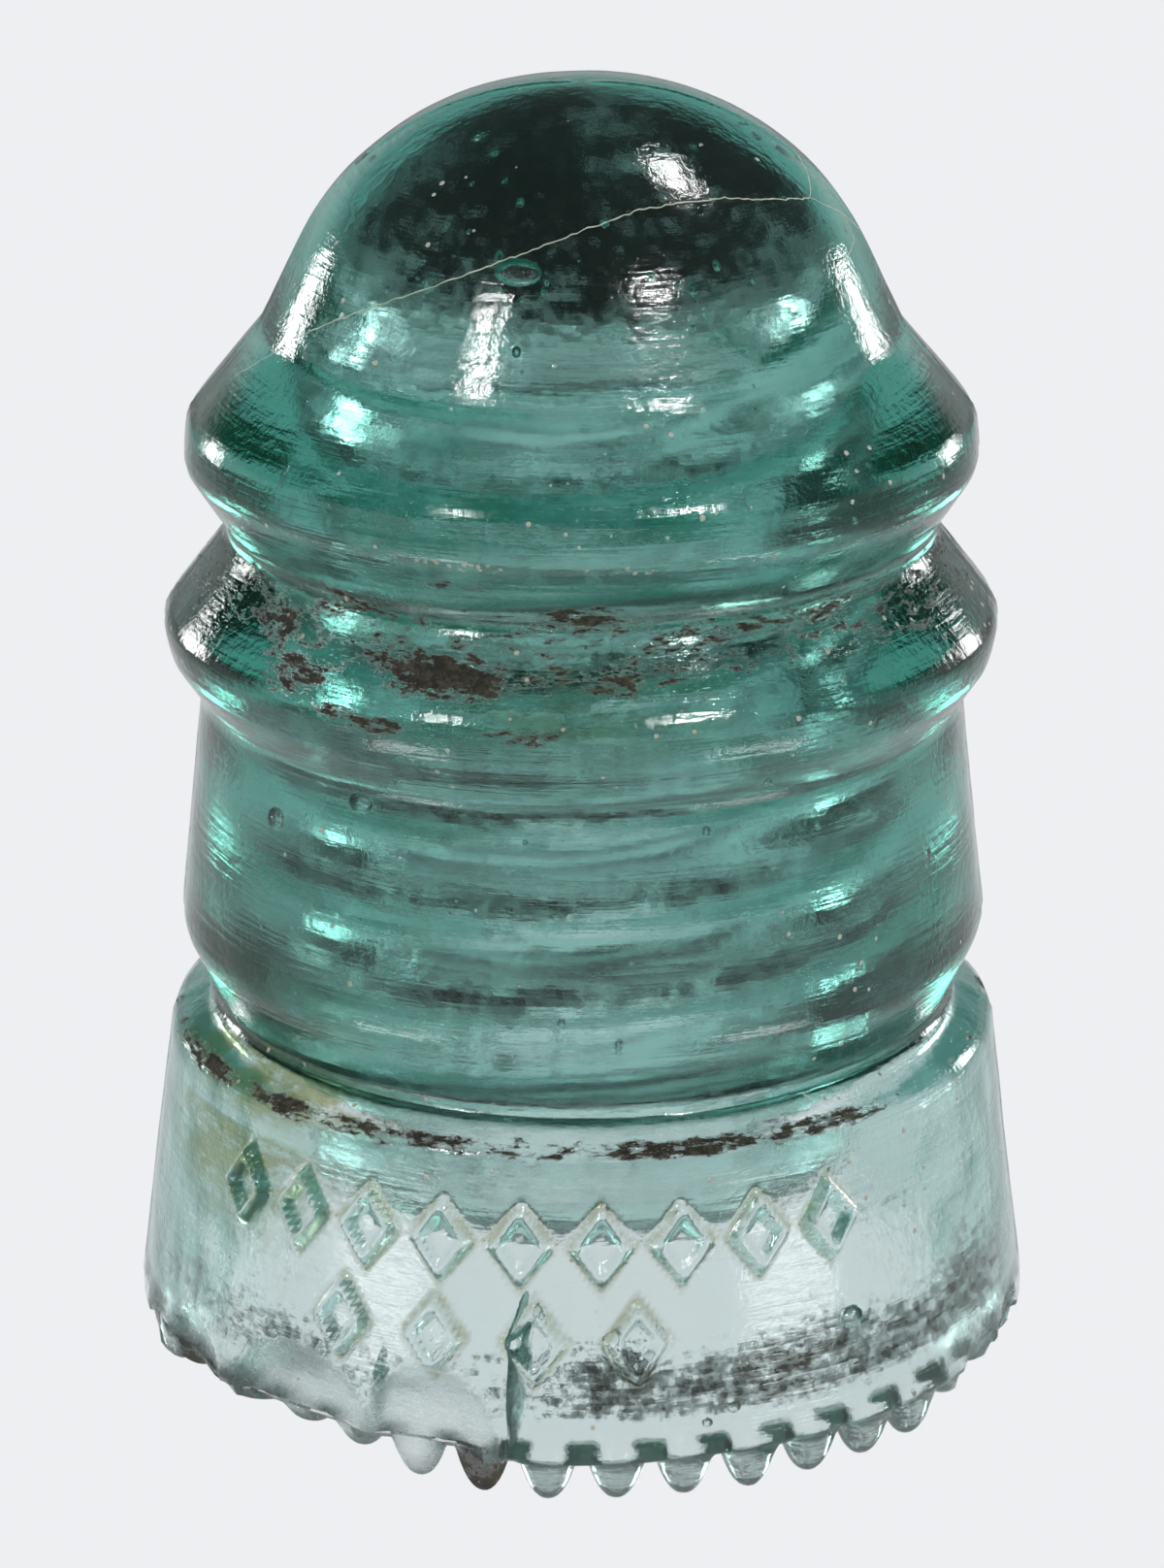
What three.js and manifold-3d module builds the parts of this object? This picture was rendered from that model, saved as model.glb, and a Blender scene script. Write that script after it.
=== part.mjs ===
// Pressed-glass pin insulator with two wire grooves, a skirt with drip points, an inner petticoat and a
// threaded pin hole. It is one monolithic piece of glass.
//
// Units are millimetres. +Z is up, along the axis of the pin hole. The origin is on that axis, in the plane
// of the drip points' tips, on which the insulator stands.

import * as THREE from 'three';
import { mergeVertices } from 'three/addons/utils/BufferGeometryUtils.js';
import Module from 'manifold-3d';

// ---- driving dimensions -------------------------------------------------------------------------------

const RIM_R = 30.1; // outer radius of the skirt at its rim
const RIM_Z = 3.2; // height of the rim, which is the length of a drip point
const SHOULDER_R = 27.5; // outer radius of the skirt at its shoulder
const SHOULDER_Z = 23.6;
const TOP_Z = 86.7; // top of the crown

const DRIP_COUNT = 40;
const DRIP_RING_R = 28.0; // radius of the circle that the drip points stand on
const DRIP_R = 1.95; // radius of a drip point at its root
const DRIP_TIP_R = 0.5; // radius of the flat on its tip
const DRIP_ROOT = 0.6; // how far its root is buried in the rim

const PETTICOAT_R = 18.2; // outer radius of the inner petticoat at its lower face
const PETTICOAT_Z = 14; // height of that face

const HOLE_MOUTH_R = 14.0; // radius of the pin hole at the petticoat's lower face
const HOLE_TOP_R = 12.2; // radius where its wall meets the rounded end
const HOLE_TOP_Z = 78; // height of the closed end
const HOLE_WALL_Z = 71.5; // height where the wall meets the rounded end

const THREAD_PITCH = 6.35; // four threads to the inch
const THREAD_TURNS = 8;
const THREAD_START_Z = 19.4;
const THREAD_DEPTH = 1.3;
const THREAD_SECTION_R = 2.3; // radius of the round groove that forms the thread

const MARK_SIZE = [4.4, 5.8]; // width and height of a raised lozenge on the skirt
const MARK_RELIEF = 0.6; // how far it stands out
const MARK_ROOT = 1; // how far it is buried in the skirt
const MARK_STROKE = 0.9; // width of its raised outline
const MARK_ROWS = [ // height, first angle from the front, step and count, in degrees
  { z: 17.8, start: -50, step: 10.5, count: 9 },
  { z: 11.4, start: -32, step: 13, count: 4 },
];

const SEGMENTS = 36; // around the axis
const ARC_STEP = THREE.MathUtils.degToRad(30); // along a rounded corner

// ---- helpers ------------------------------------------------------------------------------------------

const wasm = await Module();
wasm.setup();

// Points of an outline through corners [radius, height, rounding], with each corner rounded by an arc.
function roundedOutline(corners) {
  const points = [];
  corners.forEach(([r, z, rounding = 0], i) => {
    const here = new THREE.Vector2(r, z);
    if (!rounding) {
      points.push(here);
      return;
    }
    const before = new THREE.Vector2(...corners[i - 1]).sub(here).normalize();
    const after = new THREE.Vector2(...corners[(i + 1) % corners.length]).sub(here).normalize();
    const turn = Math.PI - Math.acos(before.dot(after));
    const cut = rounding * Math.tan(turn / 2);
    const middle = before.clone().add(after).normalize();
    const centre = here.clone().addScaledVector(middle, Math.hypot(rounding, cut));
    const spoke = here.clone().addScaledVector(before, cut).sub(centre);
    const side = Math.sign(before.cross(after));
    const steps = Math.max(1, Math.round(turn / ARC_STEP));
    for (let k = 0; k <= steps; k++) {
      const arm = spoke.clone().rotateAround(new THREE.Vector2(), -side * (turn * k) / steps);
      points.push(centre.clone().add(arm));
    }
  });
  return points;
}

// A solid of revolution about +Z. LatheGeometry turns about +Y, so it is tipped upright.
function turned(points, segments = SEGMENTS) {
  return new THREE.LatheGeometry(points, segments).rotateX(Math.PI / 2);
}

function toSolid(geometry) {
  const bare = geometry.clone();
  bare.deleteAttribute('normal');
  bare.deleteAttribute('uv');
  const merged = mergeVertices(bare, 1e-4);
  return new wasm.Manifold(new wasm.Mesh({
    numProp: 3,
    vertProperties: new Float32Array(merged.attributes.position.array),
    triVerts: new Uint32Array(merged.index.array),
  }));
}

function toGeometry(solid) {
  const mesh = solid.getMesh();
  const geometry = new THREE.BufferGeometry();
  geometry.setAttribute('position', new THREE.BufferAttribute(mesh.vertProperties, 3));
  geometry.setIndex(new THREE.BufferAttribute(mesh.triVerts, 1));
  return geometry;
}

// ---- the glass ----------------------------------------------------------------------------------------

// Half of the glass's section: from the closed end of the pin hole, down its wall, round the petticoat, up
// and down the gap inside the skirt, round the rim and up the outside to the top of the crown.
const SECTION = [
  [0, HOLE_TOP_Z],
  [6.8, HOLE_TOP_Z, 9],
  [HOLE_TOP_R, HOLE_WALL_Z, 9],
  [HOLE_MOUTH_R, PETTICOAT_Z, 0.8],
  [PETTICOAT_R, PETTICOAT_Z, 0.8],
  [18.9, 23.0, 2.0], // top of the gap
  [23.4, 23.0, 1.6],
  [25.4, RIM_Z, 0.5],
  [RIM_R, RIM_Z, 0.5],
  [SHOULDER_R, SHOULDER_Z, 1.4],
  [24.4, 25.4, 0.8], // foot of the body
  [26.75, 30.3, 2.4], // lower edge of the body
  [25.05, 46.2, 0.8], // under the lower wire ridge
  [27.0, 49.1, 2.2], // lower wire ridge
  [27.55, 51.6, 2.2],
  [22.9, 57.6, 1.5], // wire groove
  [26.0, 62.3, 1.6], // upper wire ridge
  [25.7, 65.1, 2.0],
  [20.95, 70.8, 2.0], // foot of the crown
  [16.6, 79.6, 17.0], // crown
  [8.25, TOP_Z, 20.0],
  [0, TOP_Z],
];

// Centre line of the groove that forms the thread. It follows the taper of the hole and runs out of the
// glass over half a turn at each end.
class ThreadCurve extends THREE.Curve {
  getPoint(t, target = new THREE.Vector3()) {
    const angle = 2 * Math.PI * THREAD_TURNS * t;
    const z = THREAD_START_Z + THREAD_PITCH * THREAD_TURNS * t;
    const wall = THREE.MathUtils.mapLinear(z, PETTICOAT_Z, HOLE_WALL_Z, HOLE_MOUTH_R, HOLE_TOP_R);
    const runOut = Math.min(1, 2 * THREAD_TURNS * t, 2 * THREAD_TURNS * (1 - t));
    const r = wall + THREAD_DEPTH * runOut - THREAD_SECTION_R;
    return target.set(r * Math.cos(angle), r * Math.sin(angle), z);
  }
}

function threadGroove() {
  const section = new THREE.Shape(new THREE.Path()
    .absarc(0, 0, THREAD_SECTION_R, 0, 2 * Math.PI)
    .getPoints(6)
    .slice(0, -1));
  return new THREE.ExtrudeGeometry(section, {
    steps: THREAD_TURNS * 18,
    bevelEnabled: false,
    extrudePath: new ThreadCurve(),
  });
}

// One drip point, hanging from the rim, its root buried in the glass.
function dripPoint(angle) {
  const outline = [
    [0, 0],
    [DRIP_TIP_R, 0],
    [0.75 * DRIP_R, 0.45 * RIM_Z],
    [DRIP_R, RIM_Z],
    [DRIP_R, RIM_Z + DRIP_ROOT],
    [0, RIM_Z + DRIP_ROOT],
  ].map(([r, z]) => new THREE.Vector2(r, z));
  return turned(outline, 6)
    .translate(DRIP_RING_R, 0, 0)
    .rotateZ(angle);
}

// The outline of a diamond of this width and height.
function diamond(path, width, height) {
  path.moveTo(width / 2, 0);
  path.lineTo(0, height / 2);
  path.lineTo(-width / 2, 0);
  path.lineTo(0, -height / 2);
  path.closePath();
  return path;
}

// A raised lozenge outline on the skirt, at a height and at an angle from the front.
function lozenge(z, angle) {
  const [width, height] = MARK_SIZE;
  const inner = 1 - 2 * MARK_STROKE * Math.hypot(1 / width, 1 / height);
  const ring = diamond(new THREE.Shape(), width, height);
  ring.holes.push(diamond(new THREE.Path(), inner * width, inner * height));
  const lean = Math.atan2(RIM_R - SHOULDER_R, SHOULDER_Z - RIM_Z);
  const wallR = RIM_R - (z - RIM_Z) * Math.tan(lean);
  return new THREE.ExtrudeGeometry(ring, { depth: MARK_ROOT + MARK_RELIEF, bevelEnabled: false })
    .rotateX(Math.PI / 2 - lean)
    .translate(0, MARK_ROOT - wallR, z)
    .rotateZ(angle);
}

function glassBody() {
  let glass = toSolid(turned(roundedOutline(SECTION)));
  glass = glass.subtract(toSolid(threadGroove()));
  for (let i = 0; i < DRIP_COUNT; i++) {
    glass = glass.add(toSolid(dripPoint((2 * Math.PI * (i + 0.5)) / DRIP_COUNT)));
  }
  for (const row of MARK_ROWS) {
    for (let i = 0; i < row.count; i++) {
      glass = glass.add(toSolid(lozenge(row.z, THREE.MathUtils.degToRad(row.start + i * row.step))));
    }
  }
  return toGeometry(glass);
}

const AQUA_GLASS = new THREE.MeshStandardMaterial({ color: 0x5f9e8f, roughness: 0.08, metalness: 0 });

const insulator = new THREE.Group();
const body = new THREE.Mesh(glassBody(), AQUA_GLASS);
body.name = 'glass_body';
insulator.add(body);

export default insulator;
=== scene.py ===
"""Looks of a pressed-glass pin insulator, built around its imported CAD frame. Lengths are millimetres until
they become mesh coordinates, which are metres. -Y is the front, with the camera in front and above."""

import math
import random

import bpy
import numpy as np
from mathutils import Matrix, Vector

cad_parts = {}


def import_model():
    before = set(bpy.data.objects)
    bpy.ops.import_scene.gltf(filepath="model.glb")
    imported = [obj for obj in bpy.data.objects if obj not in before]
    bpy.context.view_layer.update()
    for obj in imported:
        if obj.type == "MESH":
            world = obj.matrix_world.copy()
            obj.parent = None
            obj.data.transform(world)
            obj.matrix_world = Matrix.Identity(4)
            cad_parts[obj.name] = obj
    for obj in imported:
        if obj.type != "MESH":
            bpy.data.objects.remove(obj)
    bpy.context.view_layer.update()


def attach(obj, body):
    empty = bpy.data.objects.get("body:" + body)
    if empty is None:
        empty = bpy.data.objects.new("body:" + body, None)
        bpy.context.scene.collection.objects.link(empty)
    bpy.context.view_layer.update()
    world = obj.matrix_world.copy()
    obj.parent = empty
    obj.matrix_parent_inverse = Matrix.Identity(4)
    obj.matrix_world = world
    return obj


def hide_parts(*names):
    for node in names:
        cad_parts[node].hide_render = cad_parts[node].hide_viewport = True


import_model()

MM = 0.001
TAU = 2 * math.pi

# ---- sizes of the glass, in millimetres ------------------------------------------------------------------

RIM_R = 30.05
RIM_Z = 3.2
TOP_Z = 86.7
SHOULDER_R, SHOULDER_Z = 27.5, 23.6

DRIP_COUNT = 40
DRIP_RING_R = 28.0
DRIP_R = 2.0

PETTICOAT_R, PETTICOAT_Z = 18.2, 14
HOLE_MOUTH_R = 14.0
HOLE_TOP_R, HOLE_WALL_Z = 12.2, 71.5
HOLE_TOP_Z = 78

THREAD_PITCH = 6.35
THREAD_TURNS = 8
THREAD_START_Z = 19.4
THREAD_DEPTH = 1.3

MARK_SIZE = (4.4, 5.8)
MARK_RELIEF = 0.8
MARK_STROKE = 0.9  # width of the raised outline
MARK_ROWS = (  # height, first angle from the front, step and count
    (17.8, -50, 10.5, 9),
    (11.4, -32, 13, 4),
)

COARSE = 216  # columns of the mesh round the crown, the body and the inside
FINE = 3 * COARSE  # columns round the skirt and its rim

# The section of the glass as [radius, height, rounding], in stretches with the spacing of the mesh's rings
# and its number of columns. Each stretch starts at the last corner of the one before.
SECTION = (
    ("hole", 0.85, COARSE, (
        (0, HOLE_TOP_Z),
        (6.8, HOLE_TOP_Z, 9),
        (HOLE_TOP_R, HOLE_WALL_Z, 9),
        (HOLE_MOUTH_R, PETTICOAT_Z + 1),
    )),
    ("gap", 1.2, COARSE, (
        (HOLE_MOUTH_R, PETTICOAT_Z + 1),
        (HOLE_MOUTH_R, PETTICOAT_Z, 0.8),
        (PETTICOAT_R, PETTICOAT_Z, 0.8),
        (18.9, 23.0, 2.0),
        (23.4, 23.0, 1.6),
        (25.4, RIM_Z, 0.5),
        (26.0, RIM_Z),
    )),
    ("rim", 0.33, FINE, (
        (26.0, RIM_Z),
        (29.55, RIM_Z),
    )),
    ("skirt", 0.42, FINE, (
        (29.55, RIM_Z),
        (RIM_R, RIM_Z, 0.45),
        (SHOULDER_R + 0.25, SHOULDER_Z - 2),
    )),
    ("outside", 0.68, COARSE, (
        (SHOULDER_R + 0.25, SHOULDER_Z - 2),
        (SHOULDER_R, SHOULDER_Z, 1.4),
        (24.4, 25.4, 0.8),
        (26.75, 30.3, 2.4),
        (25.05, 46.2, 0.8),
        (27.0, 49.1, 2.2),
        (27.55, 51.6, 2.2),
        (22.9, 57.6, 1.5),
        (26.0, 62.3, 1.6),
        (25.7, 65.1, 2.0),
        (20.95, 70.8, 2.0),
        (16.6, 79.6, 17.0),
        (8.25, TOP_Z, 20.0),
        (0, TOP_Z),
    )),
)

# ---- damage, bubbles and dirt: angles in degrees from the front towards +X, heights in millimetres --------

DRIP_STUMPS = {-4: 0.42, -3: 0.86, -5: 0.3, -6: 0.2, -7: 0.35, -8: 0.5, 6: 0.55, 7: 0.4, 8: 0.3}

CHIPS = (  # spalls from the skirt's rim: angle, half-width in degrees, height reached, depth
    (-39, 12, 8.6, 1.2),
    (-19.5, 9.5, 9.4, 1.15),
    (-61, 8, 6.8, 0.9),
    (-72, 5, 5.2, 0.6),
    (63, 5, 5.0, 0.5),
    (74, 6, 5.6, 0.7),
    (137, 5, 5.2, 0.6),
    (-158, 8, 6.0, 0.7),
)

CRACK = (  # hairline crack over the crown, with the two branches at its right end
    ((-78, 68.5), (-65, 72), (-52.5, 74.2), (-41.4, 75.9), (-20.8, 78.7), (-8.6, 80), (0, 80.8), (14.5, 81.7),
     (25.2, 81.9), (39.7, 81.8), (50.9, 81.3), (70.7, 80.4)),
    ((70.7, 80.4), (80.4, 81.2), (89.6, 81.9)),
    ((70.7, 80.4), (82.1, 78.6), (92, 76.5), (104, 73.5)),
    ((81.7, 77.4), (72, 76.9), (63.4, 76.6)),
)
CRACK_R = 0.055

BUBBLES = (  # angle, height, depth below the outside, half-axes across, up and deep
    (-14.5, 78.8, 1.6, (1.5, 0.9, 0.5)),
    (-35, 44.9, 1.6, (0.9, 0.75, 0.7)),
    (-52.5, 42, 1.5, (0.8, 0.8, 0.6)),
    (38, 10.4, 1.5, (0.85, 0.8, 0.7)),
    (20, 6.1, 1.7, (0.5, 0.4, 0.4)),
    (16.5, 5.2, 2.1, (0.35, 0.35, 0.3)),
    (63, 38, 2.0, (0.5, 0.7, 0.4)),
    (150, 33, 1.8, (0.7, 0.9, 0.5)),
    (-120, 75, 2.0, (0.6, 0.5, 0.4)),
)

FRACTURES = (  # cracks inside the skirt: angle, height, depth, turn about Z, tilt, half-height, half-depth
    (-8.3, 9.2, 2.2, 68, 4, 5.3, 1.6),
    (-28.2, 6.6, 2.6, 74, 8, 2.9, 0.9),
)

FRACTURE_GAP = 0.02
SEED_COUNT = 210
DARK_DRIPS = (-2, -7, -8)

CRUST = (  # patches of dirt on the outside: angle, height, half-width in degrees, half-height, strength
    (-20, 54.5, 9, 1.1, 1.25),
    (-27, 55.2, 7, 0.8, 1.0),
    (-51, 55.4, 6, 1.0, 0.95),
    (-44, 53.3, 6, 1.2, 0.9),
    (-30, 51.5, 9, 0.7, 0.85),
    (0, 58.0, 7, 0.9, 1.0),
    (-5.5, 54.7, 4, 0.6, 0.9),
    (5.5, 54.5, 5, 0.7, 0.95),
    (14.6, 56.3, 6, 0.8, 0.9),
    (28, 56.9, 7, 0.6, 0.8),
    (41, 57.1, 6, 0.7, 0.9),
    (-21, 60.4, 6, 0.4, 0.8),
    (-38, 57.6, 8, 0.8, 0.8),
    (-8, 51.6, 6, 0.5, 0.8),
    (160, 56, 22, 1.6, 1.0),
    (105, 55.5, 12, 1.2, 0.9),
)

# ---- the shape of the glass ------------------------------------------------------------------------------


def rounded_outline(corners, step=math.radians(3)):
    """The corners' outline, with each corner that has a rounding replaced by an arc."""
    points = []
    for i, corner in enumerate(corners):
        here = np.array(corner[:2], float)
        if len(corner) == 2:
            points.append(here)
            continue
        before = np.array(corners[i - 1][:2]) - here
        after = np.array(corners[i + 1][:2]) - here
        before /= np.linalg.norm(before)
        after /= np.linalg.norm(after)
        turn = math.pi - math.acos(np.clip(before @ after, -1, 1))
        cut = corner[2] * math.tan(turn / 2)
        middle = before + after
        middle /= np.linalg.norm(middle)
        centre = here + middle * math.hypot(corner[2], cut)
        spoke = here + before * cut - centre
        side = np.sign(before[0] * after[1] - before[1] * after[0])
        count = max(2, round(turn / step))
        for k in range(count + 1):
            angle = -side * turn * k / count
            c, s = math.cos(angle), math.sin(angle)
            points.append(centre + (c * spoke[0] - s * spoke[1], s * spoke[0] + c * spoke[1]))
    return np.array(points)


def evenly(points, spacing):
    """The outline's points at an even spacing, with both ends kept."""
    lengths = np.hypot(*np.diff(points, axis=0).T)
    along = np.concatenate([[0], np.cumsum(lengths)])
    marks = np.linspace(0, along[-1], max(2, round(along[-1] / spacing)) + 1)
    return np.column_stack([np.interp(marks, along, points[:, k]) for k in (0, 1)])


def section_rings():
    """Rings of the section from the end of the hole to the top: radius, height, normal, columns, stretch."""
    rings = []
    for name, spacing, columns, corners in SECTION:
        points = evenly(rounded_outline(corners), spacing)
        rings += [(p, columns, name) for p in points[:-1]]
    points = np.array([p for p, _, _ in rings] + [np.array([0, TOP_Z])])
    ahead = np.gradient(points, axis=0)
    ahead /= np.linalg.norm(ahead, axis=1)[:, None]
    return [
        (points[i], np.array([ahead[i][1], -ahead[i][0]]), rings[i][1], rings[i][2])
        for i in range(1, len(rings))
    ]


class Waves:
    """A smooth random field in space: a sum of plane waves with about this wavelength."""

    def __init__(self, seed, wavelength, count=14, stretch=(1, 1, 1)):
        rng = np.random.default_rng(seed)
        directions = rng.normal(size=(count, 3))
        directions /= np.linalg.norm(directions, axis=1)[:, None]
        self.k = directions * np.array(stretch) * TAU / (wavelength * rng.uniform(0.7, 1.6, (count, 1)))
        self.phase = rng.uniform(0, TAU, count)
        self.gain = 1 / math.sqrt(count / 2)

    def __call__(self, points):
        return self.gain * np.sin(points @ self.k.T + self.phase).sum(axis=1)


def smooth(edge0, edge1, x):
    t = np.clip((x - edge0) / (edge1 - edge0), 0, 1)
    return t * t * (3 - 2 * t)


def wrapped(angle):
    """The angle brought to between minus and plus half a turn."""
    return (angle + math.pi) % TAU - math.pi


def front_angle(points):
    """Angle round the axis from the front, towards +X."""
    return np.arctan2(points[:, 0], -points[:, 1])


SWELL = Waves(1, 17)
RIPPLE = Waves(2, 5)
WRINKLE = Waves(3, 2.6)
INNER = Waves(4, 3.6)
LINES = Waves(5, 1.5, stretch=(0.06, 0.06, 1))


def thread_relief(points):
    """The groove of the pin thread, as a negative relief of the hole's wall."""
    angle = np.arctan2(points[:, 1], points[:, 0])
    turns = (points[:, 2] - THREAD_START_Z) / THREAD_PITCH
    nearest = np.round(turns - angle / TAU)
    along = np.clip(nearest + angle / TAU, 0, THREAD_TURNS)
    run_out = np.clip(np.minimum(2 * along, 2 * (THREAD_TURNS - along)), 0, 1)
    across = (turns - along) * THREAD_PITCH
    half = 0.42 * THREAD_PITCH
    groove = np.where(abs(across) < half, np.cos(np.clip(across / half, -1, 1) * math.pi / 2) ** 1.4, 0)
    return -THREAD_DEPTH * run_out * groove


def drip_heights():
    """Each drip point's length as a share of the rim's height, with the broken ones short."""
    rng = random.Random(11)
    heights = [rng.uniform(0.9, 1.0) for _ in range(DRIP_COUNT)]
    for number, share in DRIP_STUMPS.items():
        heights[number] = share
    return np.array(heights)


DRIPS = drip_heights()


def drip_relief(points):
    """The drip points, as a relief of the rim's lower face. Two stand either side of the front."""
    angle = front_angle(points)
    r = np.hypot(points[:, 0], points[:, 1])
    number = np.floor(angle / TAU * DRIP_COUNT).astype(int)
    across = r * wrapped(angle - (number + 0.5) * TAU / DRIP_COUNT)
    out = np.hypot(across, r - DRIP_RING_R) / DRIP_R
    return RIM_Z * DRIPS[number % DRIP_COUNT] * (1 - np.clip(out, 0, 1) ** 2.4)


def chip_depth(angle, z):
    """How deep the spalls at the skirt's rim go, with the ripples of a shell-like break."""
    depth = np.zeros(len(angle))
    for middle, half_width, top, deepest in CHIPS:
        across = np.degrees(wrapped(angle - math.radians(middle))) / half_width
        up = (z - RIM_Z) / (top - RIM_Z)
        reach = across ** 2 + np.clip(up, 0, None) ** 2
        bowl = np.clip(1 - reach, 0, 1) ** 0.55
        ripple = 1 + 0.07 * np.sin(11 * np.sqrt(reach + 0.2) + 2 * across)
        depth = np.maximum(depth, deepest * bowl * ripple)
    return depth


def inside_mark(points):
    """Distance inside the edge of the nearest lozenge on the front of the skirt, below nothing outside it."""
    angle = front_angle(points)
    r = np.hypot(points[:, 0], points[:, 1])
    inside = np.full(len(points), -math.inf)
    width, height = MARK_SIZE
    per_mm = 2 * math.hypot(1 / width, 1 / height)
    for z, start, step, count in MARK_ROWS:
        for i in range(count):
            across = r * wrapped(angle - math.radians(start + i * step))
            reach = abs(across) / (width / 2) + abs(points[:, 2] - z) / (height / 2)
            inside = np.maximum(inside, (1 - reach) / per_mm)
    return inside


def mark_relief(points):
    """The raised outlines of the lozenges."""
    inside = inside_mark(points)
    return MARK_RELIEF * smooth(0, 0.3, inside) * (1 - smooth(MARK_STROKE - 0.3, MARK_STROKE, inside))


def seam_relief(points):
    """The two upright mould seams, at the left and the right."""
    angle = front_angle(points)
    r = np.hypot(points[:, 0], points[:, 1])
    across = r * np.minimum(abs(wrapped(angle - math.pi / 2)), abs(wrapped(angle + math.pi / 2)))
    return 0.1 * np.exp(-((across / 0.35) ** 2))


def relief_of(points, stretch):
    """How far the real surface stands out from the smooth section, in millimetres."""
    out = 0.05 * SWELL(points) + 0.012 * RIPPLE(points) + 0.003 * WRINKLE(points)
    if stretch == "hole":
        out += 0.025 * INNER(points) + thread_relief(points)
    elif stretch == "gap":
        out += 0.03 * INNER(points)
    elif stretch == "rim":
        out = 0.02 * RIPPLE(points) + drip_relief(points)
    elif stretch == "skirt":
        chip = chip_depth(front_angle(points), points[:, 2])
        nick = np.clip(RIPPLE(points * 2.2) - 0.9, 0, 1) * (1 - smooth(RIM_Z, RIM_Z + 1.1, points[:, 2]))
        out += (mark_relief(points) + seam_relief(points)) * (chip == 0) - chip - 0.35 * nick
    else:
        out += 0.006 * LINES(points) + seam_relief(points)
    return out


def joined(lower, upper):
    """Faces between two rings of vertex numbers, which may differ by a factor of three in length."""
    a, b = len(lower), len(upper)
    faces = []
    for i in range(min(a, b)):
        j = (i + 1) % min(a, b)
        if a == b:
            faces.append((lower[i], lower[j], upper[j], upper[i]))
        elif b > a:
            fine = [upper[(3 * i + k) % b] for k in range(4)]
            faces.append((lower[i], fine[1], fine[0]))
            faces.append((lower[i], lower[j], fine[2], fine[1]))
            faces.append((lower[j], fine[3], fine[2]))
        else:
            fine = [lower[(3 * i + k) % a] for k in range(4)]
            faces.append((fine[0], fine[1], upper[i]))
            faces.append((fine[1], fine[2], upper[j], upper[i]))
            faces.append((fine[2], fine[3], upper[j]))
    return faces


def mesh_object(name, vertices, faces, material):
    mesh = bpy.data.meshes.new(name)
    mesh.from_pydata((np.asarray(vertices) * MM).tolist(), [], [tuple(map(int, f)) for f in faces])
    mesh.polygons.foreach_set("use_smooth", [True] * len(mesh.polygons))
    mesh.update()
    thing = bpy.data.objects.new(name, mesh)
    thing.data.materials.append(material)
    bpy.context.scene.collection.objects.link(thing)
    return thing


def turned_glass():
    """The glass's outer surface: its vertices, faces and the stretch that each vertex is on."""
    vertices = [np.array([[0, 0, HOLE_TOP_Z]])]
    stretches = ["hole"]
    faces = []
    last = None
    count = 1
    for (r, z), (nr, nz), columns, stretch in section_rings():
        angle = np.arange(columns) * TAU / columns
        c, s = np.cos(angle), np.sin(angle)
        ring = np.column_stack([r * c, r * s, np.full(columns, z)])
        normal = np.column_stack([nr * c, nr * s, np.full(columns, nz)])
        ring = ring + normal * relief_of(ring, stretch)[:, None]
        if stretch == "rim":
            chip = chip_depth(front_angle(ring), ring[:, 2]) * smooth(26.2, 29.5, r)
            ring[:, :2] *= 1 - (chip / r)[:, None]
        numbers = np.arange(count, count + columns)
        if last is None:
            faces += [(0, numbers[(i + 1) % columns], numbers[i]) for i in range(columns)]
        else:
            faces += joined(last, numbers)
        vertices.append(ring)
        stretches += [stretch] * columns
        last = numbers
        count += columns
    vertices.append(np.array([[0, 0, TOP_Z]]))
    stretches.append("outside")
    faces += [(last[i], last[(i + 1) % len(last)], count) for i in range(len(last))]
    return np.concatenate(vertices), faces, np.array(stretches)


OUTSIDE = np.array([
    (z, r, nr, nz)
    for (r, z), (nr, nz), _, stretch in section_rings()
    if stretch in ("skirt", "outside")
])


def on_outside(angle, z, depth=0.0):
    """The point at this angle and height and this far under the outside, with the directions across, up and
    out there."""
    r, nr, nz = (np.interp(z, OUTSIDE[:, 0], OUTSIDE[:, k]) for k in (1, 2, 3))
    turn = np.array([math.sin(angle), -math.cos(angle)])
    out = np.array([nr * turn[0], nr * turn[1], nz]) / math.hypot(nr, nz)
    across = np.array([math.cos(angle), math.sin(angle), 0])
    skin = np.array([[r * turn[0], r * turn[1], z]])
    skin = skin[0] + out * relief_of(skin, "outside")[0]
    return skin - depth * out, across, np.cross(across, -out), out


def cavity(centre, axes, columns=14, rows=8, warp=None):
    """A closed hollow inside the glass, its faces turned inward: an ellipsoid about three half-axes."""
    lat = math.pi * (np.arange(1, rows) / rows)
    lon = TAU * np.arange(columns) / columns
    unit = [(0, 0, 1)]
    unit += [(math.sin(t) * math.cos(u), math.sin(t) * math.sin(u), math.cos(t)) for t in lat for u in lon]
    unit += [(0, 0, -1)]
    unit = np.array(unit)
    if warp is not None:
        unit = warp(unit)
    points = centre + unit @ np.array(axes)
    last = len(points) - 1
    faces = []
    for i in range(columns):
        j = (i + 1) % columns
        faces.append((0, 1 + j, 1 + i))
        for k in range(rows - 2):
            a, b = 1 + k * columns, 1 + (k + 1) * columns
            faces.append((a + i, a + j, b + j, b + i))
        top = 1 + (rows - 2) * columns
        faces.append((top + i, top + j, last))
    if np.linalg.det(np.array(axes)) < 0:
        faces = [tuple(reversed(f)) for f in faces]
    return points, faces


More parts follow.
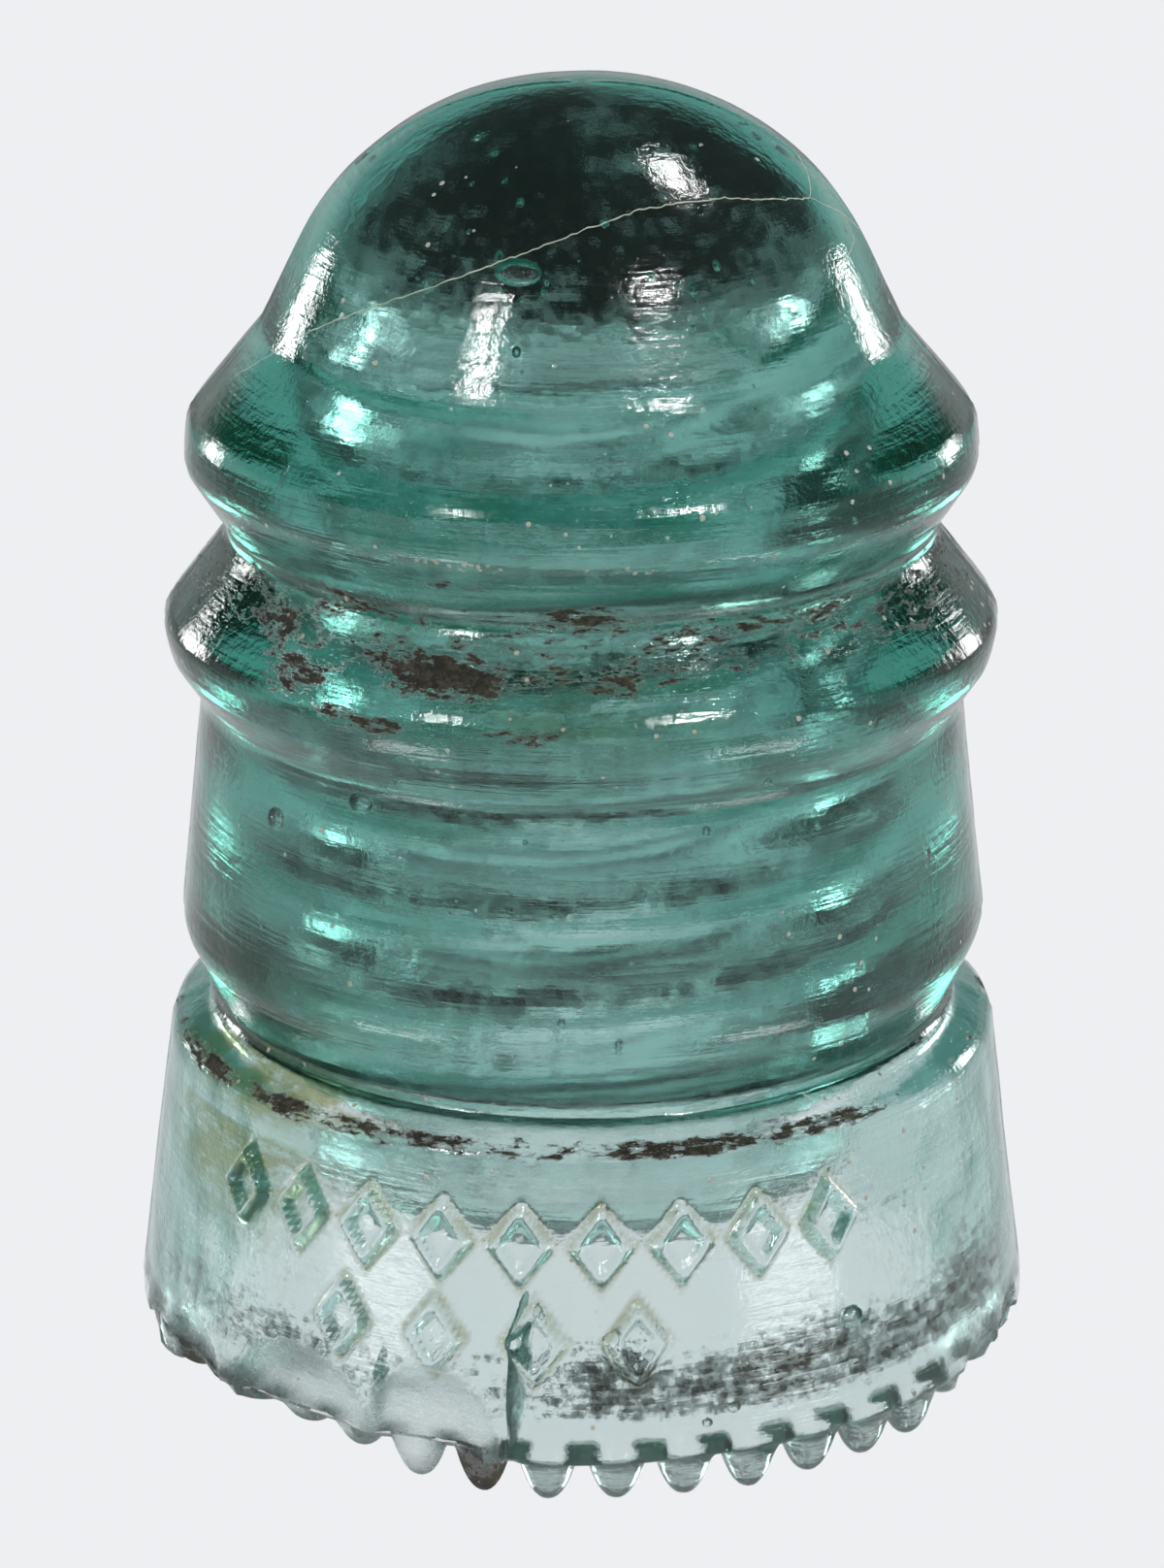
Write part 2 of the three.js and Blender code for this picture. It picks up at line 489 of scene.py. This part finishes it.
def bubbles():
    """The large bubbles, and the fine seed through the crown and the body."""
    rng = random.Random(5)
    for angle, z, depth, (wide, tall, deep) in BUBBLES:
        place, across, up, out = on_outside(math.radians(angle), z, depth)
        yield cavity(place, (wide * across, tall * up, deep * out), 18, 12)
    for i in range(SEED_COUNT):
        crown = i % 3 == 0
        z = rng.uniform(75, 85.8) if crown else 28 + 50 * rng.random()
        depth = rng.uniform(0.6, 6.0 if crown else 5.0)
        place, across, up, out = on_outside(rng.uniform(-math.pi, math.pi), z, depth)
        size = (0.16 if crown else 0.1) + 0.24 * rng.random() ** 3
        yield cavity(place, (size * across, rng.uniform(0.8, 1.6) * size * up, size * out), 8, 5)


def fractures():
    """Thin cracks in the skirt: nearly flat hollows, rippled like the inside of a shell."""
    for i, (angle, z, depth, turn, tilt, tall, deep) in enumerate(FRACTURES):
        place, across, up, out = on_outside(math.radians(angle), z, depth)
        frame_axes = Matrix((across, up, out)).transposed()
        lean = Matrix.Rotation(math.radians(turn), 3, "Y") @ Matrix.Rotation(math.radians(tilt), 3, "X")
        plane = np.array(frame_axes @ lean)
        wave = Waves(40 + i, 1.4)

        def shell(unit):
            u, v, w = unit.T
            ripple = 0.22 * (1 - u * u) * (1 - v * v) + 0.035 * wave(unit) * (1 - u * u - v * v)
            return np.column_stack([u, v, w + ripple / FRACTURE_GAP])

        axes = (deep * plane[:, 0], tall * plane[:, 1], FRACTURE_GAP * plane[:, 2])
        yield cavity(place, axes, 48, 28, shell)


def bump_over(points, middle, z, half_width, half_height):
    """One in the middle of a patch, falling to nothing at its edge."""
    across = np.degrees(wrapped(front_angle(points) - math.radians(middle))) / half_width
    return np.clip(1 - across ** 2 - ((points[:, 2] - z) / half_height) ** 2, 0, 1)


def band(x, start, full, fade, end):
    """One from full to fade, falling to nothing at start and end."""
    return smooth(start, full, x) * (1 - smooth(fade, end, x))


def crust_amount(points, angle):
    """Brown crust: patches round the lower ridge, a trace all round the groove, and the shoulder's edge."""
    z = points[:, 2]
    crust = 0.36 * band(z, 53, 54, 57, 59.5) * (np.hypot(points[:, 0], points[:, 1]) < 25.5)
    for middle, height, half_width, half_height, strength in CRUST:
        patch = bump_over(points, middle, height, 1.5 * half_width, 1.5 * half_height)
        crust = np.maximum(crust, 0.76 * strength * patch ** 0.8)
    patchy = RIPPLE(points * 0.8)
    shoulder = band(z, 23.0, 23.5, 23.9, 24.5)
    crust = np.maximum(crust, (0.62 + 0.14 * patchy) * shoulder * band(angle, -95, -70, 32, 50))
    return np.maximum(crust, (0.3 + 0.1 * patchy) * shoulder)


def film_amount(points):
    """Olive film above the skirt: on the left of the shoulder, under the lower ridge and in the groove."""
    shoulder = 1.5 * bump_over(points, -55, 24.6, 34, 3.0)
    ridge = 0.85 * bump_over(points, 2, 53.0, 26, 3.6)
    body = 0.8 * bump_over(points, -50, 30, 25, 5)
    groove = 0.35 * band(points[:, 2], 54, 57, 58, 61)
    return np.maximum.reduce([shoulder, ridge, body, groove])


def skirt_film_amount(points):
    """Olive film on the skirt: at its upper left, and in the corner round each raised lozenge."""
    corner = 0.85 * band(inside_mark(points), -0.45, -0.15, 0.1, 0.3)
    return np.maximum(1.3 * bump_over(points, -55, 20.5, 24, 8), corner)


def soot_amount(points, angle):
    """Soot on the skirt's inner wall: a band over the rim, thickest at the front right, and a patch above."""
    swirl = SWELL(points * 1.7)
    sooty = 0.34 + 0.3 * band(angle, -14, 14, 62, 92) + 0.1 * band(angle, -64, -52, -42, -36)
    low = band(points[:, 2], 4.3, 5.4, 7.2, 12.0 + swirl) * (sooty + 0.02 * swirl)
    return np.maximum(low, 0.42 * bump_over(points, 50, 19, 32, 5.5))


def drip_soot_amount(points, angle):
    """Soot on the drip points: all over a few of them, and on every tip."""
    soot = 0.55 * smooth(0.9, 0.2, points[:, 2])
    for number in DARK_DRIPS:
        near = abs(wrapped(np.radians(angle) - (number + 0.5) * TAU / DRIP_COUNT)) < TAU / DRIP_COUNT / 2
        soot = np.where(near, 0.95, soot)
    return soot


def char_and_shade_amount(points):
    """Char in the end of the pin hole, with less of it down the wall and more in the thread's root; the thick
    coat at the hole's end is partly painted shade for the dark of the dome, and the extra in the thread's
    root is painted shade that darkens the thread's arcs.
    """
    z = points[:, 2]
    swirl = SWELL(points * 1.7)
    root = smooth(0.7, 1.0, -thread_relief(points) / THREAD_DEPTH)
    # the thread's root takes painted shade, darkening the thread's arcs
    wall = 0.17 - 0.09 * smooth(48, 58, z) + 0.05 * swirl + 0.42 * root
    # the hole's end: char, and painted shade for the dark of the dome
    return np.maximum(wall, smooth(69.5, 75.5, z) * (0.8 + 0.09 * swirl))


def dirt_wear_and_painted_light(points, stretches):
    """How much of each kind of dirt, of the painted shade in the pin hole, of the painted glints on the
    ridges and of the frosting of chipped glass there is at each vertex.
    """
    z = points[:, 2]
    r = np.hypot(points[:, 0], points[:, 1])
    angle = np.degrees(front_angle(points))
    outside = stretches == "outside"
    skirt = stretches == "skirt"
    skirt_wall = (stretches == "gap") & (r > 24.0)
    drips = (stretches == "rim") & (z < RIM_Z - 0.25)
    chipped = np.isin(stretches, ("rim", "skirt")) * chip_depth(np.radians(angle), z)
    # pale specks in bands along the lower edges of both ridges: painted glints
    dust_and_glint = np.maximum(0.9 * band(z, 61.2, 61.6, 62.0, 62.5), 0.55 * band(z, 48.3, 48.8, 49.4, 50))
    return {
        "crust": crust_amount(points, angle) * outside,
        "film": film_amount(points) * outside + skirt_film_amount(points) * skirt,
        "soot": soot_amount(points, angle) * skirt_wall + drip_soot_amount(points, angle) * drips,
        # char in the pin hole, with painted shade at the hole's end and in the thread's root
        "char_and_shade": char_and_shade_amount(points) * (stretches == "hole"),
        # painted glints on the ridges' lower edges, as pale specks
        "dust_and_glint": dust_and_glint * outside,
        "frost": smooth(0.0, 0.3, chipped),
        "inside": np.isin(stretches, ("hole", "gap")).astype(float),
    }


def glass_body(material):
    vertices, faces, stretches = turned_glass()
    fields = dirt_wear_and_painted_light(vertices, stretches)
    for points, hollow in (*bubbles(), *fractures()):
        faces += [tuple(len(vertices) + i for i in face) for face in hollow]
        vertices = np.concatenate([vertices, points])
    body = mesh_object("glass", vertices, faces, material)
    for name, values in fields.items():
        layer = body.data.attributes.new(name, "FLOAT", "POINT")
        layer.data.foreach_set("value", np.concatenate([values, np.zeros(len(vertices) - len(values))]))
    print("glass triangles", sum(len(p.vertices) - 2 for p in body.data.polygons))
    return body


def crack_lines(material):
    """The hairline crack over the crown: fine closed threads, half sunk in the surface."""
    vertices, faces = [], []
    jitter = random.Random(8)
    for path in CRACK:
        route = []
        for (a0, z0), (a1, z1) in zip(path, path[1:]):
            steps = max(2, round(abs(a1 - a0) / 1.6 + abs(z1 - z0) / 0.5))
            route += [(a0 + (a1 - a0) * k / steps, z0 + (z1 - z0) * k / steps) for k in range(steps)]
        route.append(path[-1])
        first = len(vertices)
        for i, (a, z) in enumerate(route):
            place, across, up, out = on_outside(math.radians(a), z + jitter.uniform(-0.06, 0.06))
            size = CRACK_R * (0.25 if i in (0, len(route) - 1) else jitter.uniform(0.6, 1.15))
            deep, tall = 0.5 * size * out, size * up
            vertices += [place + deep, place + tall, place - deep, place - tall]
        for i in range(len(route) - 1):
            a, b = first + 4 * i, first + 4 * (i + 1)
            faces += [(a + k, b + k, b + (k + 1) % 4, a + (k + 1) % 4) for k in range(4)]
        end = first + 4 * (len(route) - 1)
        faces += [(first, first + 1, first + 2, first + 3), (end + 3, end + 2, end + 1, end)]
    return mesh_object("crown_crack", vertices, faces, material)


# ---- materials -------------------------------------------------------------------------------------------


class Nodes:
    """A material's node tree, with short ways to add to it."""

    def __init__(self, name):
        self.material = bpy.data.materials.new(name)
        self.material.use_nodes = True
        self.tree = self.material.node_tree
        self.tree.nodes.clear()
        self.output = self.add("ShaderNodeOutputMaterial")

    def add(self, kind, **settings):
        node = self.tree.nodes.new(kind)
        for key, value in settings.items():
            setattr(node, key, value)
        return node

    def link(self, source, target):
        self.tree.links.new(source, target)

    def put(self, socket, value):
        if isinstance(value, bpy.types.NodeSocket):
            self.link(value, socket)
        else:
            socket.default_value = value

    def math(self, operation, *values, clamp=False):
        node = self.add("ShaderNodeMath", operation=operation, use_clamp=clamp)
        for socket, value in zip(node.inputs, values):
            self.put(socket, value)
        return node.outputs[0]

    def place(self):
        """The point on the object, in metres."""
        return self.add("ShaderNodeTexCoord").outputs["Object"]

    def split(self, vector):
        node = self.add("ShaderNodeSeparateXYZ")
        self.link(vector, node.inputs[0])
        return node.outputs

    def field(self, name):
        """A value that the mesh keeps at its vertices."""
        return self.add("ShaderNodeAttribute", attribute_name=name).outputs["Fac"]

    def covering(self, name, grain, contrast, low, high):
        """How far a covering of the glass reaches (a kind of dirt, the char with its painted shade, or the
        painted glints): its amount at the vertices, broken up by a fine grain.
        """
        broken = self.math("MULTIPLY", self.math("SUBTRACT", grain, 0.5), contrast)
        amount = self.field(name)
        return self.math("MULTIPLY", self.ramp(self.math("ADD", amount, broken), low, high),
                         self.ramp(amount, 0.0, 0.12))

    def noise(self, vector, scale, detail=3, roughness=0.5, distortion=0.0):
        node = self.add("ShaderNodeTexNoise")
        self.link(vector, node.inputs["Vector"])
        node.inputs["Scale"].default_value = scale
        node.inputs["Detail"].default_value = detail
        node.inputs["Roughness"].default_value = roughness
        node.inputs["Distortion"].default_value = distortion
        return node.outputs["Fac"]

    def ramp(self, value, low, high, to_low=0.0, to_high=1.0):
        node = self.add("ShaderNodeMapRange", interpolation_type="SMOOTHSTEP")
        self.put(node.inputs["Value"], value)
        node.inputs["From Min"].default_value = low
        node.inputs["From Max"].default_value = high
        node.inputs["To Min"].default_value = to_low
        node.inputs["To Max"].default_value = to_high
        return node.outputs["Result"]

    def mix_colour(self, factor, a, b):
        node = self.add("ShaderNodeMix", data_type="RGBA")
        self.put(node.inputs["Factor"], factor)
        self.put(node.inputs["A"], a)
        self.put(node.inputs["B"], b)
        return node.outputs["Result"]

    def stretched(self, vector, scale):
        node = self.add("ShaderNodeMapping")
        self.link(vector, node.inputs["Vector"])
        node.inputs["Scale"].default_value = scale
        return node.outputs["Vector"]


def glass_material():
    n = Nodes("aqua_glass")
    p = n.add("ShaderNodeBsdfPrincipled")
    here = n.place()
    inside = n.field("inside")

    # dirt, the char with its painted shade, and the painted glints: where each kind's amount outweighs a fine
    # noise, it covers the glass
    grain = n.noise(n.stretched(here, (1, 1, 3.5)), 560, detail=11, roughness=0.78)
    cloud = n.noise(n.stretched(here, (1, 1, 2.2)), 300, detail=8, roughness=0.72)
    speckle = n.noise(here, 1500, detail=6, roughness=0.8)
    streaks = n.noise(n.stretched(here, (1, 1, 5)), 420, detail=9, roughness=0.75)
    mottle = n.math("ADD", n.math("MULTIPLY", speckle, 0.5), n.math("MULTIPLY", streaks, 0.5))
    crust = n.covering("crust", grain, 3.2, 0.46, 0.66)
    soot = n.covering("soot", mottle, 3.6, 0.4, 0.8)
    # char in the pin hole, with painted shade at its end and in the thread's root
    char_and_shade = n.covering("char_and_shade", mottle, 3.0, 0.25, 0.75)
    film = n.math("MULTIPLY", n.field("film"), n.ramp(cloud, 0.32, 0.6), clamp=True)
    # pale specks along the lower edges of the ridges are painted glints; dust motes over the outside join
    # them below
    glint_cells = n.add("ShaderNodeTexVoronoi")
    n.link(here, glint_cells.inputs["Vector"])
    glint_cells.inputs["Scale"].default_value = 1900
    glint_dots = n.ramp(glint_cells.outputs["Distance"], 0.34, 0.2)
    dust_and_glint = n.math("MULTIPLY", glint_dots, n.covering("dust_and_glint", n.noise(here, 380, detail=4), 1.8, 0.84, 0.94))
    dust = n.add("ShaderNodeTexVoronoi")
    n.link(here, dust.inputs["Vector"])
    dust.inputs["Scale"].default_value = 620
    motes = n.math("MULTIPLY", n.ramp(dust.outputs["Distance"], 0.13, 0.07), n.math("SUBTRACT", 1, inside))
    dust_and_glint = n.math("MAXIMUM", dust_and_glint, n.math("MULTIPLY", motes, n.ramp(n.noise(here, 130, detail=3), 0.5, 0.56)))

    brown = n.mix_colour(n.ramp(speckle, 0.42, 0.62), (0.016, 0.0155, 0.01, 1), (0.07, 0.065, 0.042, 1))
    olive = n.mix_colour(n.ramp(cloud, 0.38, 0.64), (0.024, 0.021, 0.013, 1), (0.1, 0.09, 0.056, 1))
    # near-black of the char and of its painted shade in the pin hole
    char_and_shade_black = n.mix_colour(n.ramp(mottle, 0.45, 0.62), (0.006, 0.007, 0.007, 1), (0.04, 0.038, 0.032, 1))
    colour = n.mix_colour(film, (1, 1, 1, 1), (0.36, 0.33, 0.14, 1))
    colour = n.mix_colour(soot, colour, olive)
    colour = n.mix_colour(char_and_shade, colour, char_and_shade_black)
    colour = n.mix_colour(crust, colour, brown)
    # pale colour of the painted glints on the ridges and of the dust motes
    colour = n.mix_colour(dust_and_glint, colour, (0.62, 0.55, 0.42, 1))
    n.link(colour, p.inputs["Base Color"])
    covered = n.math("MAXIMUM", n.math("MAXIMUM", crust, n.math("MULTIPLY", soot, 0.94)), dust_and_glint)
    covered = n.math("MAXIMUM", covered, n.math("MULTIPLY", char_and_shade, 0.97))
    n.link(n.math("SUBTRACT", 1, covered), p.inputs["Transmission Weight"])

    # gloss: fire-polished outside with pits and rubbed patches, a hazier wall inside, frosted chips
    pits = n.ramp(n.noise(here, 950, detail=5, roughness=0.6), 0.5, 0.74, 0.0, 0.16)
    worn = n.ramp(n.noise(here, 90, detail=4), 0.45, 0.7, 0.0, 0.09)
    haze = n.math("MULTIPLY", inside, n.ramp(n.noise(here, 240, detail=5), 0.3, 0.7, 0.0, 0.05))
    frost = n.math("MULTIPLY", n.field("frost"), n.ramp(speckle, 0.36, 0.6, 0.12, 0.5))
    gloss = n.math("ADD", n.math("ADD", n.math("ADD", pits, worn), haze), 0.035)
    gloss = n.math("MAXIMUM", gloss, frost)
    n.link(n.math("MAXIMUM", gloss, n.math("MULTIPLY", covered, 0.85)), p.inputs["Roughness"])
    p.inputs["IOR"].default_value = 1.52

    # relief: fine lines left by the mould, pitting, the thickness of the dirt and of the painted shade and
    # glints, and the chips' rough skin
    lines = n.noise(n.stretched(here, (0.05, 0.05, 1)), 2600, detail=3)
    pitting = n.noise(here, 1300, detail=4, roughness=0.6)
    height = n.math("ADD", n.math("MULTIPLY", lines, 0.6), n.math("MULTIPLY", pitting, 0.7))
    height = n.math("ADD", height, n.math("MULTIPLY", covered, 1.2))
    rough_skin = n.math("MULTIPLY", n.field("frost"), cloud)
    height = n.math("ADD", height, n.math("MULTIPLY", rough_skin, 4))
    bump = n.add("ShaderNodeBump")
    bump.inputs["Strength"].default_value = 0.8
    bump.inputs["Distance"].default_value = 0.00008
    n.link(height, bump.inputs["Height"])
    n.link(bump.outputs[0], p.inputs["Normal"])
    n.link(p.outputs[0], n.output.inputs["Surface"])

    tint = n.add("ShaderNodeVolumeAbsorption")
    tint.inputs["Color"].default_value = (0.05, 0.64, 0.55, 1)
    tint.inputs["Density"].default_value = 56
    n.link(tint.outputs[0], n.output.inputs["Volume"])
    return n.material


def crack_material():
    n = Nodes("crack_dust")
    p = n.add("ShaderNodeBsdfPrincipled")
    grain = n.noise(n.place(), 900, detail=5)
    n.link(n.mix_colour(grain, (0.5, 0.56, 0.44, 1), (0.85, 0.87, 0.74, 1)), p.inputs["Base Color"])
    n.link(n.ramp(grain, 0.3, 0.7, 0.35, 0.7), p.inputs["Roughness"])
    n.link(p.outputs[0], n.output.inputs["Surface"])
    return n.material


# ---- the object ------------------------------------------------------------------------------------------

glass = glass_body(glass_material())
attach(glass, "root")
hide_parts("glass_body")

crack = crack_lines(crack_material())
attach(crack, "root")

# ---- floor, light and camera -----------------------------------------------------------------------------

TABLE_GLOW = 0.885  # brightness of the background to the camera


def floor():
    """A lit table: as bright as the background to the camera, dimmer to the glass away from the object."""
    n = Nodes("pale_floor")
    glow = n.add("ShaderNodeEmission")
    glow.inputs["Color"].default_value = (0.965, 0.975, 1, 1)
    x, y, _ = n.split(n.place())
    away = n.math("SQRT", n.math("ADD", n.math("MULTIPLY", x, x), n.math("MULTIPLY", y, y)))
    near = n.ramp(away, 0.1, 0.6, 0.73, 0.28)
    seen = n.add("ShaderNodeLightPath").outputs["Is Camera Ray"]
    lift = n.math("MULTIPLY", seen, n.math("SUBTRACT", TABLE_GLOW, near))
    n.link(n.math("ADD", near, lift), glow.inputs["Strength"])
    n.link(glow.outputs[0], n.output.inputs["Surface"])
    size = 1500
    corners = [(-size, -size, -0.2), (size, -size, -0.2), (size, size, -0.2), (-size, size, -0.2)]
    mesh_object("floor", corners, [(0, 1, 2, 3)], n.material)


def softbox(name, direction, distance, size, power, aim=(0, 0, 50), through_glass=True):
    """An area light of this size in millimetres, at a distance from the aim in a direction from it."""
    data = bpy.data.lights.new(name, "AREA")
    data.shape = "RECTANGLE"
    data.size, data.size_y = size[0] * MM, size[1] * MM
    data.energy = power
    lamp = bpy.data.objects.new(name, data)
    away = Vector(direction).normalized()
    lamp.location = (Vector(aim) + away * distance) * MM
    lamp.visible_transmission = lamp.visible_diffuse = through_glass
    lamp.rotation_mode = "QUATERNION"
    lamp.rotation_quaternion = away.to_track_quat("Z", "Y")
    bpy.context.scene.collection.objects.link(lamp)


def world():
    """A dim studio above, pale round the horizon, where the camera sees it as bright as the table."""
    w = bpy.data.worlds.new("studio")
    bpy.context.scene.world = w
    w.use_nodes = True
    tree = w.node_tree

    def node(kind, **settings):
        made = tree.nodes.new(kind)
        for key, value in settings.items():
            setattr(made, key, value)
        return made

    split = node("ShaderNodeSeparateXYZ")
    tree.links.new(node("ShaderNodeTexCoord").outputs["Generated"], split.inputs[0])
    horizon = node("ShaderNodeMapRange", interpolation_type="SMOOTHSTEP")
    horizon.inputs["From Min"].default_value = math.sin(math.radians(16))
    horizon.inputs["From Max"].default_value = math.sin(math.radians(6))
    tree.links.new(split.outputs["Z"], horizon.inputs["Value"])
    pale = node("ShaderNodeMapRange")
    pale.inputs["To Min"].default_value = 0.55
    pale.inputs["To Max"].default_value = TABLE_GLOW
    tree.links.new(node("ShaderNodeLightPath").outputs["Is Camera Ray"], pale.inputs["Value"])
    strength = node("ShaderNodeMapRange")
    strength.inputs["To Min"].default_value = 0.05
    tree.links.new(horizon.outputs["Result"], strength.inputs["Value"])
    tree.links.new(pale.outputs["Result"], strength.inputs["To Max"])
    background = tree.nodes["Background"]
    background.inputs["Color"].default_value = (0.965, 0.975, 1, 1)
    tree.links.new(strength.outputs["Result"], background.inputs["Strength"])


CAMERA_BACK, CAMERA_UP = 390, 177.6  # from the axis and above the drip points' tips
CAMERA_PITCH = 19.57  # degrees below the horizon
CAMERA_LENS = 142.6  # on a 36 mm long side


def camera():
    data = bpy.data.cameras.new("camera")
    data.lens = CAMERA_LENS
    data.sensor_width = 36
    data.clip_start = 0.01
    eye = bpy.data.objects.new("camera", data)
    eye.location = Vector((0, -CAMERA_BACK, CAMERA_UP)) * MM
    eye.rotation_euler = (math.radians(90 - CAMERA_PITCH), 0, 0)
    bpy.context.scene.collection.objects.link(eye)
    bpy.context.scene.camera = eye


floor()
world()
softbox("top_box", (0.38, 0.29, 0.875), 600, (150, 75), 0.9)
softbox("left_box", (-0.775, 0.61, 0.07), 600, (100, 170), 0.75)
softbox("right_box", (0.775, 0.61, 0.07), 600, (100, 170), 0.75)
softbox("front_strip", (-0.53, -0.62, 0.58), 600, (45, 120), 0.9)
softbox("right_strip", (0.4, -0.59, 0.7), 600, (110, 30), 1.0)
softbox("left_card", (-0.56, -0.56, -0.58), 95, (32, 20), 0.012, aim=(0, 0, 55), through_glass=False)
softbox("right_card", (0.56, -0.56, -0.58), 95, (32, 20), 0.012, aim=(0, 0, 55), through_glass=False)
camera()

scene = bpy.context.scene
scene.view_settings.view_transform = "Standard"
scene.cycles.max_bounces = 24
scene.cycles.transmission_bounces = 24
scene.cycles.glossy_bounces = 8
scene.cycles.caustics_refractive = True
